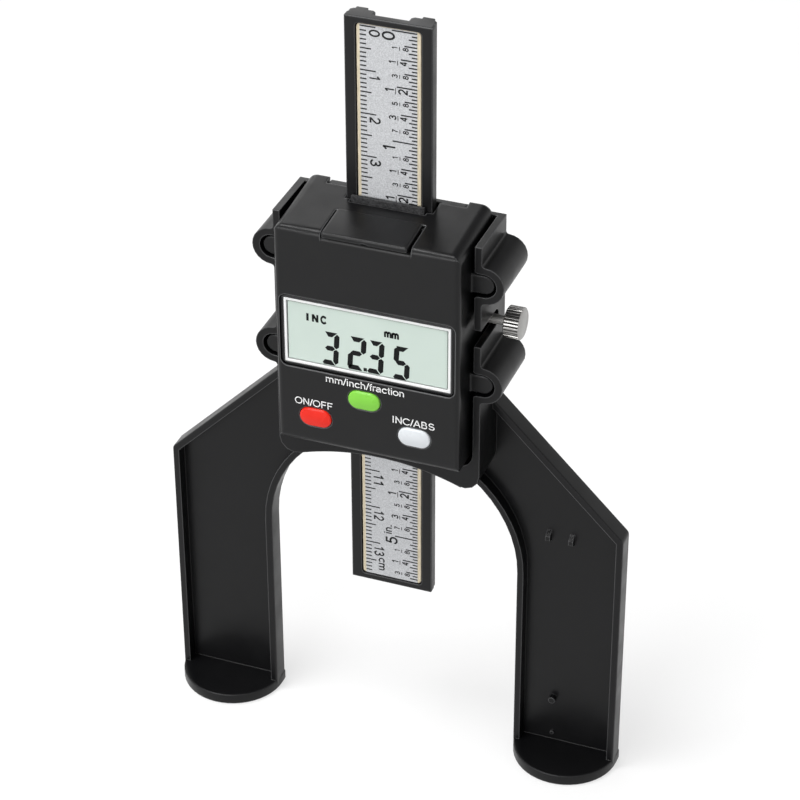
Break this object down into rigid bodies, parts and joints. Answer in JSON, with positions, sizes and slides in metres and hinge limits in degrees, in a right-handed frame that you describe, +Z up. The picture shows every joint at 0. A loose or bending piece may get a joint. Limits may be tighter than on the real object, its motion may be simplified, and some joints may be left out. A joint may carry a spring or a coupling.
{
  "type": "digital depth gauge",
  "caption": "Depth gauge: a scale beam slides through a display housing with coloured keys and a side lock screw, on an arched bracket whose legs end in flat feet.",
  "frame": {"origin": "on the ground plane under the middle of the gauge's bounding box", "axes": "+Z up along the scale beam, -Y towards the reader of the display, +X towards the lock screw"},
  "size_m": [0.1094, 0.0228, 0.1828],
  "materials": {
    "black_abs": "satin moulded black plastic",
    "bracket_black": "semi-gloss moulded black plastic",
    "steel": "plated or brushed steel",
    "brass": "plain brass",
    "white_plastic": "smooth white plastic",
    "lcd_glass": "pale mint reflective display glass",
    "grey_rubber": "soft matt rubber",
    "board_green": "coated circuit laminate",
    "strip_tan": "bare laminate edge under a printed grey face",
    "felt": "dense black felt",
    "key_red": "smooth red plastic",
    "key_green": "smooth green plastic",
    "key_white": "smooth pale grey-white plastic"
  },
  "bodies": {
    "gauge": {"bracket": "bracket_black", "foot_magnet_right": "steel", "foot_magnet_left": "steel", "housing_shell": "black_abs", "back_cover": "black_abs", "battery_holder": "black_abs", "button_cell": "steel", "battery_contact_front": "brass", "battery_contact_rear": "brass", "lcd_frame": "white_plastic", "lcd_front_glass": "lcd_glass", "lcd_rear_glass": "lcd_glass", "zebra_strip": "grey_rubber", "display_board": "board_green", "key_mat": "grey_rubber", "sensor_board": "board_green", "encoder_chip": "black_abs", "board_connector": "black_abs", "guide_spring": "steel", "lock_insert": "brass", "dust_wiper": "felt", "tray_screw_1": "steel", "tray_screw_2": "steel", "tray_screw_3": "steel", "tray_screw_4": "steel", "cover_screw_1": "steel", "cover_screw_2": "steel", "cover_screw_3": "steel", "cover_screw_4": "steel", "board_screw_1": "steel", "board_screw_2": "steel", "board_screw_3": "steel", "board_screw_4": "steel"},
    "beam": {"beam": "black_abs", "scale_strip": "strip_tan"},
    "battery_door": {"battery_door": "black_abs"},
    "button_power": {"button_power": "key_red"},
    "button_units": {"button_units": "key_green"},
    "button_mode": {"button_mode": "key_white"},
    "lock_pad": {"lock_pad": "white_plastic"},
    "lock_screw": {"lock_screw": "steel"}
  },
  "joints": [
    {"name": "beam_slide", "type": "slide", "parent": "gauge", "child": "beam", "axis": [0, 0, 1], "range_m": [-0.04, 0.04]},
    {"name": "button_power_press", "type": "slide", "parent": "gauge", "child": "button_power", "axis": [0, 1, 0], "range_m": [0, 0.0005], "stiffness_N_per_m": 1500},
    {"name": "button_units_press", "type": "slide", "parent": "gauge", "child": "button_units", "axis": [0, 1, 0], "range_m": [0, 0.0005], "stiffness_N_per_m": 1500},
    {"name": "button_mode_press", "type": "slide", "parent": "gauge", "child": "button_mode", "axis": [0, 1, 0], "range_m": [0, 0.0005], "stiffness_N_per_m": 1500},
    {"name": "door_lift", "type": "slide", "parent": "gauge", "child": "battery_door", "axis": [0, 0, 1], "range_m": [0, 0.006]},
    {"name": "lock_travel", "type": "slide", "parent": "gauge", "child": "lock_pad", "axis": [1, 0, 0], "range_m": [-0.00025, 0.0005]},
    {"name": "lock_turn", "type": "hinge", "parent": "lock_pad", "child": "lock_screw", "pos_m": [0.0282, 0.0051, 0.1162], "axis": [1, 0, 0], "range_deg": [-225, 450]}
  ],
  "couplings": [
    {"joint": "lock_turn", "follows": "lock_travel", "rad_per_m": 15708}
  ]
}
